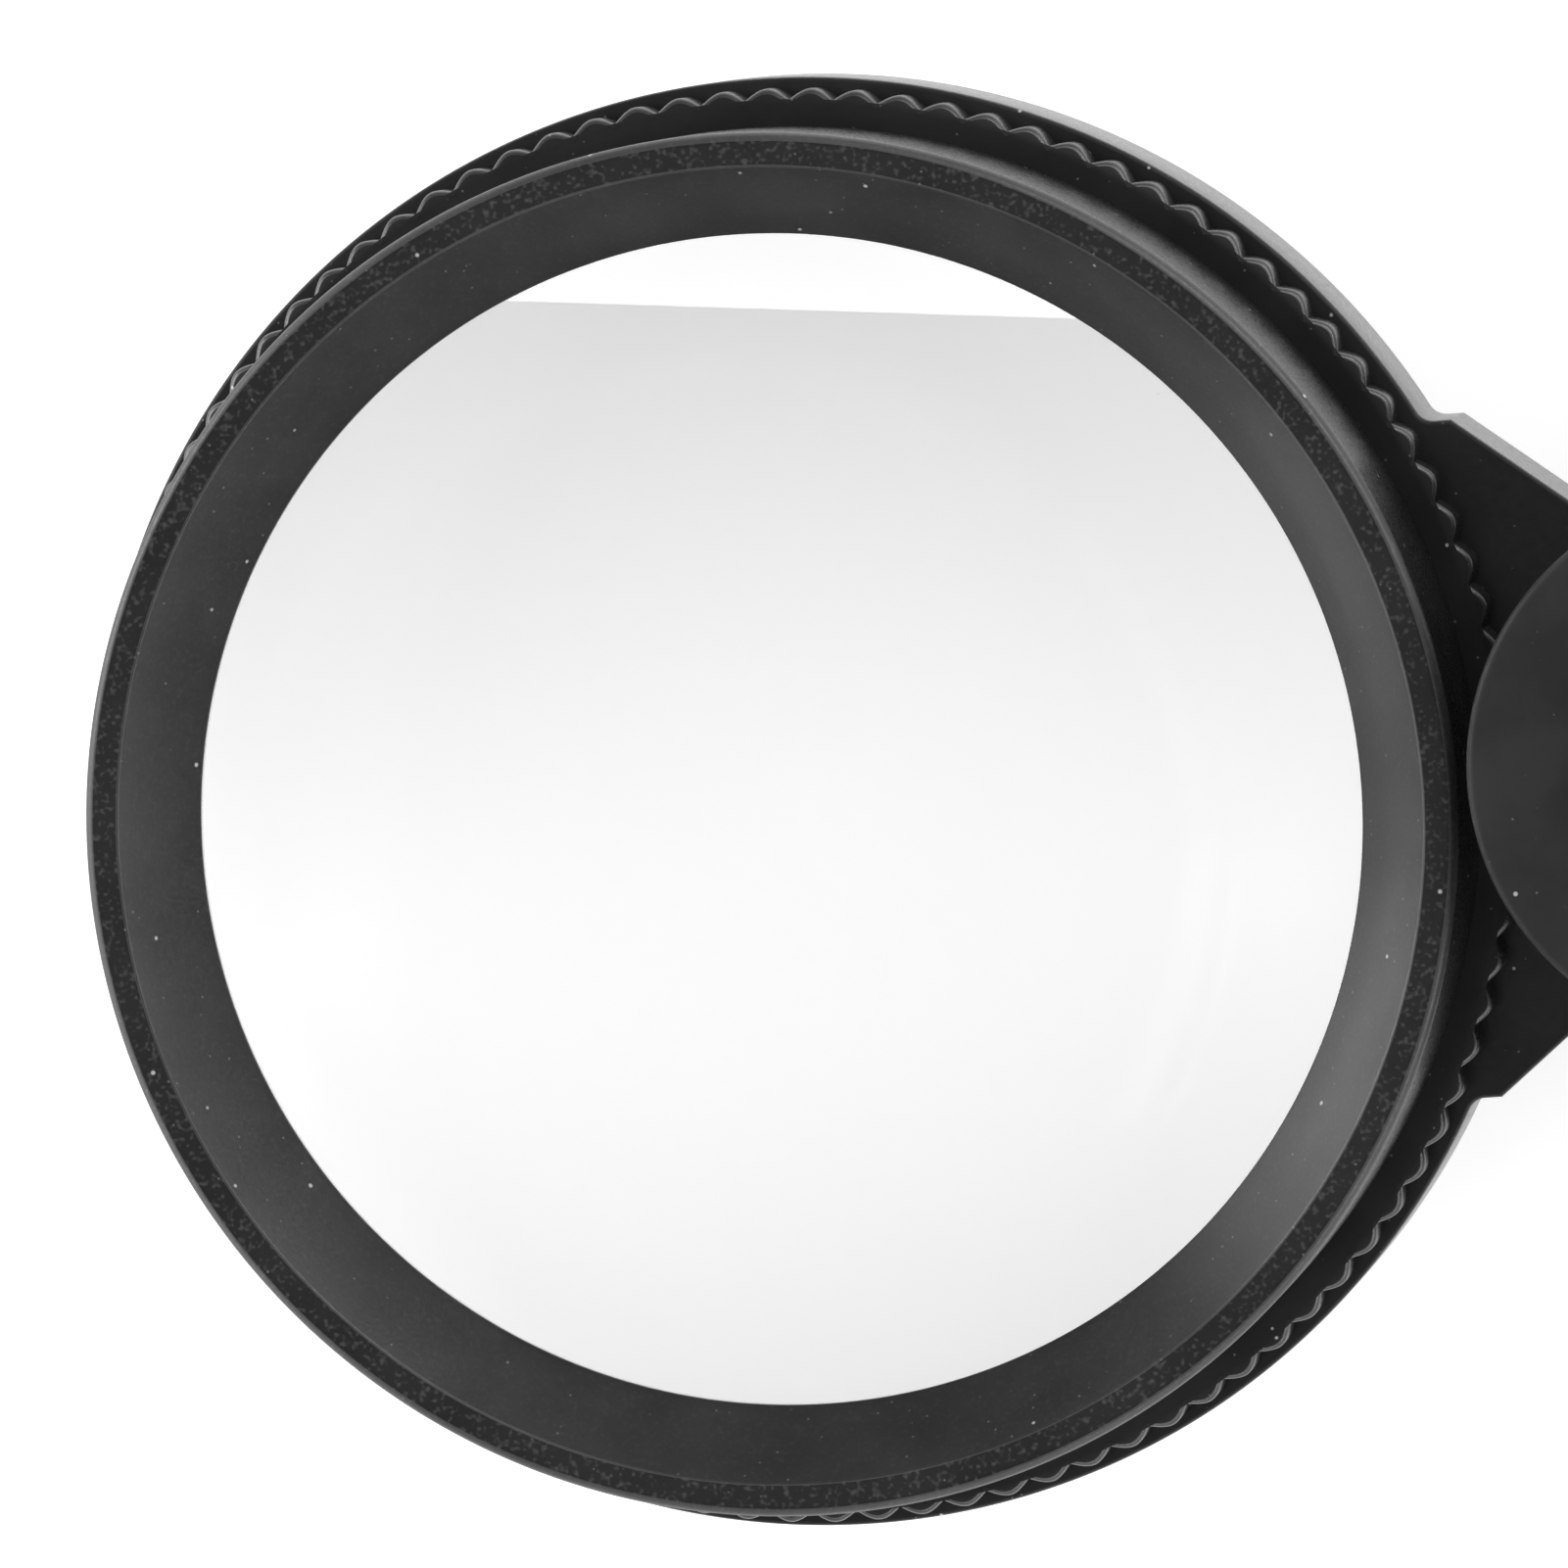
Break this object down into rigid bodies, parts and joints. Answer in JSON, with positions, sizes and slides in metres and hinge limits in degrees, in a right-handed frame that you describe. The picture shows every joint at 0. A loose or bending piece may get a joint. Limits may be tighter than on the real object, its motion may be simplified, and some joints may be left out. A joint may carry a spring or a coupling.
{
  "type": "jeweler loupe",
  "caption": "Folding pocket loupe: a round knurled lens head on a tongue swings out of a teardrop two-leaf cover.",
  "frame": {"origin": "on the pivot axis, in the flat underside of the cover that the loupe rests on", "axes": "+X from the pivot to the far end of the cover, +Z along the pivot and the optical axis; the open lens head points to -X"},
  "size_m": [0.0665, 0.0306, 0.0167],
  "materials": {
    "head_black": "satin black anodised",
    "inner_black": "matte black",
    "cover_black": "fine textured black",
    "lens_glass": "clear, coated",
    "dark_steel": "black oxide",
    "spring_steel": "bright",
    "bush_brass": "turned",
    "washer_plastic": "matte"
  },
  "bodies": {
    "cover": {"front_cover": "cover_black", "rear_cover": "cover_black", "cover_wall": "cover_black", "cover_screws": "dark_steel", "lanyard_eyelet": "dark_steel", "pivot_barrel": "dark_steel", "pivot_screw": "dark_steel", "spring_washer": "spring_steel", "front_washer": "washer_plastic", "rear_washer": "washer_plastic"},
    "head": {"holder": "head_black", "lens_cell": "inner_black", "front_lens": "lens_glass", "rear_lens": "lens_glass", "spacer_ring": "inner_black", "front_bezel": "head_black", "rear_bezel": "head_black", "front_knurled_ring": "head_black", "rear_knurled_ring": "head_black", "pivot_bush": "bush_brass"}
  },
  "joints": [
    {"name": "head_swing", "type": "hinge", "parent": "cover", "child": "head", "pos_m": [0, 0, 0.00772], "axis": [0, 0, -1], "range_deg": [0, 180]}
  ]
}
